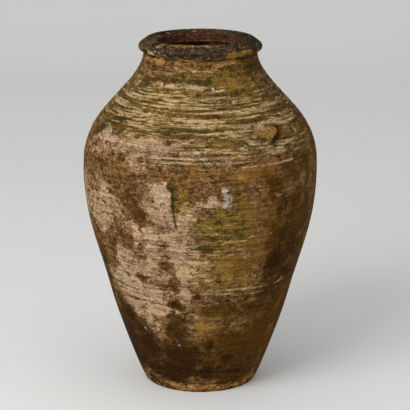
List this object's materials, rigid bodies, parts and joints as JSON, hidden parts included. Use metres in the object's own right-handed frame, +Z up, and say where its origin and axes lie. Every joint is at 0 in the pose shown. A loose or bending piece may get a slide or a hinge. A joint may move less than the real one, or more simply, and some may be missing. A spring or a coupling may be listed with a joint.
{
  "type": "olive jar",
  "caption": "Tall round-shouldered storage jar of weathered unglazed clay with a flat foot, short neck and heavy rolled rim, open at the mouth.",
  "frame": {"origin": "middle of the foot's flat underside, on the ground", "axes": "+Z up along the jar's axis, -Y is the side seen from the front in the picture, +X to the right of it"},
  "size_m": [0.5678, 0.5676, 0.85],
  "materials": {
    "bare_clay": "matt, bare fired clay, chipped and dusty",
    "stained_clay": "matt, dark earth stain with rusty streaks",
    "limed_clay": "matt, pale lime crust over brown clay",
    "mossy_clay": "matt, olive and brown weathering with pale lime",
    "ringed_clay": "matt, olive weathering, pale lime on the throwing rings",
    "neck_clay": "matt, brown weathered clay with orange wear",
    "rim_clay": "matt, charcoal weathering, worn edges",
    "patch_clay": "matt, ochre and olive weathered clay"
  },
  "bodies": {
    "root": {"base_slab": "bare_clay", "lower_wall": "stained_clay", "lower_belly": "limed_clay", "upper_belly": "mossy_clay", "shoulder": "ringed_clay", "neck": "neck_clay", "rim": "rim_clay", "shoulder_patch": "patch_clay"}
  },
  "joints": []
}
